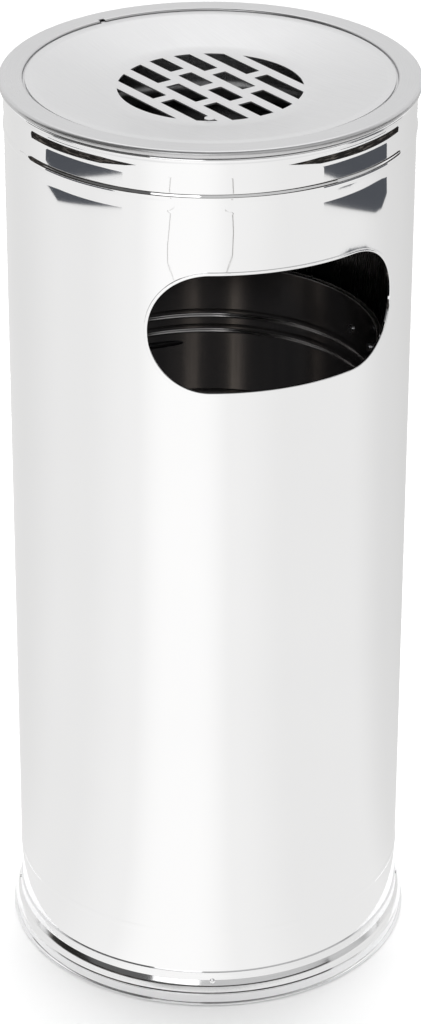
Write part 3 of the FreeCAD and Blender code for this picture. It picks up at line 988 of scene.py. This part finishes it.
def softbox(name, place, target, width, height, power):
    lamp = bpy.data.lights.new(name, "AREA")
    lamp.shape = "RECTANGLE"
    lamp.size = width
    lamp.size_y = height
    lamp.energy = power
    made = bpy.data.objects.new(name, lamp)
    made.location = place
    made.rotation_euler = (Vector(target) - Vector(place)).to_track_quat("-Z", "Y").to_euler()
    bpy.context.scene.collection.objects.link(made)
    return made


def card_finish(name, colour):
    material, tree, shader, place = new_finish(name)
    shader.inputs["Roughness"].default_value = 0.9
    shader.inputs["Specular IOR Level"].default_value = 0.1
    cloud = noise(tree, place, 2.0, detail=2.0)
    darker = tuple(channel * 0.96 for channel in colour)
    tree.links.new(mix_colour(tree, spread(tree, cloud, 0, 1), darker, colour), shader.inputs["Base Color"])
    return material


def make_floor():
    """The pale floor that the bin stands on."""
    bm = bmesh.new()
    bmesh.ops.create_grid(bm, x_segments=24, y_segments=24, size=9.0)
    floor = to_object("studio_floor", bm)
    floor.data.materials.append(card_finish("pale_floor", (0.9, 0.9, 0.9)))


def bare_material(name):
    """A new material with an empty node tree."""
    material = bpy.data.materials.new(name)
    material.use_nodes = True
    material.node_tree.nodes.clear()
    return material, material.node_tree


def glow(tree, colour, strength):
    """Ends a tree in a glow of this colour and strength."""
    made = node(tree, "ShaderNodeEmission", {"Color": colour, "Strength": strength})
    node(tree, "ShaderNodeOutputMaterial", {"Surface": made.outputs["Emission"]})


def glow_finish(name, colour):
    """A card that shows one even tone, whatever light falls on it."""
    material, tree = bare_material(name)
    glow(tree, (*colour, 1), 1.0)
    return material


def facing(tree, heading_vector, direction, low, high, start, stop):
    """A tone that runs smoothly from low to high as a heading turns towards a direction."""
    made = node(tree, "ShaderNodeVectorMath", {0: heading_vector, 1: direction}, operation="DOT_PRODUCT")
    limits = {"From Min": start, "From Max": stop, "To Min": low, "To Max": high}
    inputs = {"Value": made.outputs["Value"], **limits}
    return node(tree, "ShaderNodeMapRange", inputs, interpolation_type="SMOOTHSTEP").outputs["Result"]


def floor_glow_finish():
    """The lit floor as the polished wall sees it: brightest in front, falling off behind on both sides."""
    material, tree = bare_material("lit_floor_glow")
    place = tree.nodes.new("ShaderNodeTexCoord").outputs["Object"]
    flat = vector_of(tree, "MULTIPLY", {0: place, 1: (1, 1, 0)})
    way = vector_of(tree, "NORMALIZE", {0: flat})
    wide_pool = facing(tree, way, heading(-14), 0.895, 0.965, 0.55, 0.95)
    bright_pool = facing(tree, way, heading(-14), 0.0, 0.11, 0.90, 1.0)
    pool = number_of(tree, "ADD", {0: wide_pool, 1: bright_pool})
    left = facing(tree, way, heading(-165), 1.0, 0.90, 0.2, 0.9)
    right = facing(tree, way, heading(145), 1.0, 0.86, 0.45, 0.95)
    sides = number_of(tree, "MULTIPLY", {0: left, 1: right})
    glow(tree, (1.0, 0.997, 0.99, 1), number_of(tree, "MULTIPLY", {0: pool, 1: sides}))
    return material


def only_reflected(card, finish):
    """A card that lights nothing and that only reflections see."""
    card.data.materials.append(finish)
    card.visible_camera = False
    card.visible_diffuse = False
    card.visible_shadow = False
    card.visible_transmission = False


def along_arc(points):
    """Points added between (degrees, distance) points, so that an outline follows an arc about the bin."""
    filled = []
    for (start, near), (stop, far) in zip(points, points[1:] + points[:1]):
        steps = max(1, math.ceil(abs(stop - start) / 3))
        for step in range(steps):
            share = step / steps
            filled.append((start + (stop - start) * share, near + (far - near) * share))
    return filled


def reflected_card(name, finish, height, points):
    """A flat card near the floor. Points are (degrees right of the camera, distance from the bin)."""
    bm = bmesh.new()
    upwards = Vector((0, 0, height))
    verts = [bm.verts.new(heading(degrees) * distance + upwards) for degrees, distance in along_arc(points)]
    outline = [bm.edges.new(pair) for pair in zip(verts, verts[1:] + verts[:1])]
    bmesh.ops.contextual_create(bm, geom=outline)
    bmesh.ops.recalc_face_normals(bm, faces=bm.faces)
    only_reflected(to_object(name, bm), finish)


def reflected_line(name, finish, points, width):
    """A thin line on the floor through (degrees, distance) points, its width in degrees."""
    away = [(degrees + width, distance) for degrees, distance in reversed(points)]
    reflected_card(name, finish, CARD_HEIGHT, points + away)


def upright_card(name, finish, distance, low, high, start, stop):
    """A curved upright card about the bin, from one heading to another in degrees right of the camera."""
    bm = bmesh.new()
    foot = bm.verts.new(heading(start) * distance + Vector((0, 0, low)))
    head = bm.verts.new(heading(start) * distance + Vector((0, 0, high)))
    bm.edges.new((foot, head))
    spin_all(bm, angle=math.radians(stop - start), steps=math.ceil((stop - start) / 2), full=False)
    bmesh.ops.recalc_face_normals(bm, faces=bm.faces)
    only_reflected(to_object(name, bm), finish)


def patchy_glow(name, dark, light, scale, start, stop):
    """An uneven glow: dark with lighter patches, the scale set for each axis."""
    material, tree = bare_material(name)
    place = tree.nodes.new("ShaderNodeTexCoord").outputs["Object"]
    patches = noise(tree, stretched(tree, place, scale), 1.0, detail=3.0)
    glow(tree, mix_colour(tree, spread(tree, patches, 0, 1, start, stop), dark, light), 1.0)
    return material


def reflected_floor():
    """The lit floor's glow, as a wide flat ring about the bin."""
    bm = bmesh.new()
    start = bm.verts.new((GLOW_NEAR, 0, GLOW_HEIGHT))
    end = bm.verts.new((GLOW_FAR, 0, GLOW_HEIGHT))
    bm.edges.new((start, end))
    spin_all(bm, steps=96)
    bmesh.ops.remove_doubles(bm, verts=bm.verts, dist=MERGE)
    bmesh.ops.recalc_face_normals(bm, faces=bm.faces)
    only_reflected(to_object("lit_floor", bm), floor_glow_finish())


def light_world():
    """Studio walls: bright behind the bin and overhead, greyer in front to the right, dark elsewhere."""
    world = bpy.data.worlds.new("studio")
    bpy.context.scene.world = world
    world.use_nodes = True
    tree = world.node_tree
    background = tree.nodes["Background"]
    direction = tree.nodes.new("ShaderNodeTexCoord").outputs["Generated"]
    back = -heading(0)
    overhead = (back * 0.45 + AXIS * 0.9).normalized()
    front = facing(tree, direction, heading(42), FRONT_TONE, FRONT_RIGHT_TONE, 0.25, 0.70)
    rear = facing(tree, direction, back, 0, BACK_TONE, -0.10, 0.35)
    walls = number_of(tree, "MAXIMUM", {0: front, 1: rear})
    band = facing(tree, direction, overhead, 0.0, HIGH_TONE - BACK_TONE, 0.86, 0.97)
    level = number_of(tree, "ADD", {0: walls, 1: band})
    seen = tree.nodes.new("ShaderNodeLightPath").outputs["Is Camera Ray"]
    background.inputs["Color"].default_value = (1, 1, 1, 1)
    tree.links.new(number_of(tree, "MAXIMUM", {0: level, 1: seen}), background.inputs["Strength"])


def light_lamps():
    """Softboxes that reflections don't see, and a window that they do."""
    low_side = (0, 0, 0.1)
    middle = (0, 0, 0.3)
    hidden = [
        softbox("top_softbox", -heading(0) * 0.9 + AXIS * 2.6, (0, 0, 0.2), 2.6, 1.8, 58),
        softbox("left_softbox", heading(-75) * 2.2 + AXIS * 1.9, low_side, 1.4, 1.6, 12),
        softbox("right_softbox", heading(80) * 2.2 + AXIS * 1.9, low_side, 1.4, 1.6, 10),
        softbox("front_softbox", heading(-10) * 1.9 + AXIS * 2.3, middle, 1.6, 1.2, 24),
    ]
    for lamp in hidden:
        lamp.visible_glossy = False
    softbox("window_softbox", heading(-18) * 2.4 + AXIS * 1.5, middle, 1.2, 1.4, 7)


def place_floor_cards():
    """Dark cards on the floor at both sides, which show as the dark shapes under the rim."""
    dark = glow_finish("dark_card", (0.080, 0.086, 0.098))
    left_near = [(-100, 1.432), (-90, 1.400), (-47, 1.440)]
    left_far = [(-60, 1.530), (-78, 1.575), (-90, 1.575), (-98, 1.560)]
    reflected_card("left_floor_card", dark, CARD_HEIGHT, left_near + left_far)
    right_near = [(63, 1.432), (101, 1.354), (107, 1.355), (112, 1.384)]
    right_far = [(110, 1.560), (100, 1.580), (80, 1.580), (62, 1.530)]
    reflected_card("right_floor_card", dark, CARD_HEIGHT, right_near + right_far)
    crescent = [(72, 1.288), (81, 1.297), (93, 1.285), (103, 1.253), (88, 1.270)]
    reflected_card("crescent_card", dark, CARD_HEIGHT, crescent)


def place_edge_lines():
    """Two thin edges on the floor in front, which show as fine lines above the side opening."""
    line = glow_finish("edge_line", (0.42, 0.41, 0.40))
    left = [(-22.0, 1.53), (-20.4, 1.47), (-22.5, 1.36), (-22.5, 1.32), (-19, 1.28)]
    reflected_line("left_edge_line", line, left, 0.3)
    right = [(12, 1.53), (11, 1.49), (12, 1.40), (11.5, 1.34), (7.5, 1.29)]
    reflected_line("right_edge_line", line, right, 0.5)


def place_unlit_studio():
    """The unlit floor past the lit one, nearest at the sides, and a low dark wall behind it."""
    unlit = patchy_glow("unlit_studio", (0.018, 0.017, 0.016), (0.20, 0.18, 0.16), (4, 4, 3), 0.50, 0.80)
    left = [(-112, 1.75), (-90, 1.80), (-60, 1.95), (-45, 2.4), (-30, 3.4), (-15, 4.8)]
    right = [(0, 5.4), (15, 4.8), (30, 3.4), (48, 2.4), (60, 1.95), (90, 1.80), (122, 1.75)]
    far = [(122, GLOW_FAR), (-112, GLOW_FAR)]
    reflected_card("unlit_floor", unlit, CARD_HEIGHT, left + right + far)
    upright_card("unlit_wall", unlit, 3.0, 0.20, 0.70, -112, 70)


def place_inside_cards():
    """What the liner's wall reflects through the side opening: dim, with two streaks of light."""
    warm = (0.50, 0.44, 0.37)
    streaks = patchy_glow("light_inside", (0.05, 0.045, 0.045), warm, (150, 150, 1), 0.45, 0.75)
    dim = patchy_glow("dim_inside", (0.016, 0.016, 0.017), (0.035, 0.033, 0.032), (60, 60, 3), 0.4, 0.8)
    distance = (liner_radius - INSIDE_GAP) * MM
    upright_card("inside_left", dim, distance, 0.15, INSIDE_TOP, -112, -37)
    upright_card("inside_streak_left", streaks, distance, 0.17, INSIDE_TOP, -37, -24)
    upright_card("inside_middle", dim, distance, 0.15, INSIDE_TOP, -24, 13)
    upright_card("inside_streak_right", streaks, distance, 0.17, INSIDE_TOP, 13, 26)
    upright_card("inside_right", dim, distance, 0.15, INSIDE_TOP, 26, 112)


make_body()
make_edging()
make_foot()
make_floor_ring()
make_base_plate()
make_rim()
make_bowl()
make_lid()
make_liner_side()
make_liner_floor()
make_wire()
make_grip()

kept_parts = {"base_rivets": polished, "ear_right": zinc, "ear_left": zinc, "ear_rivets": zinc}
for name, finish in kept_parts.items():
    cad_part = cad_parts[name]
    cad_part.data.materials.clear()
    cad_part.data.materials.append(finish)

make_floor()
light_world()
light_lamps()
reflected_floor()
place_floor_cards()
place_edge_lines()
place_unlit_studio()
place_inside_cards()
place_camera()
bpy.context.scene.view_settings.view_transform = "Standard"
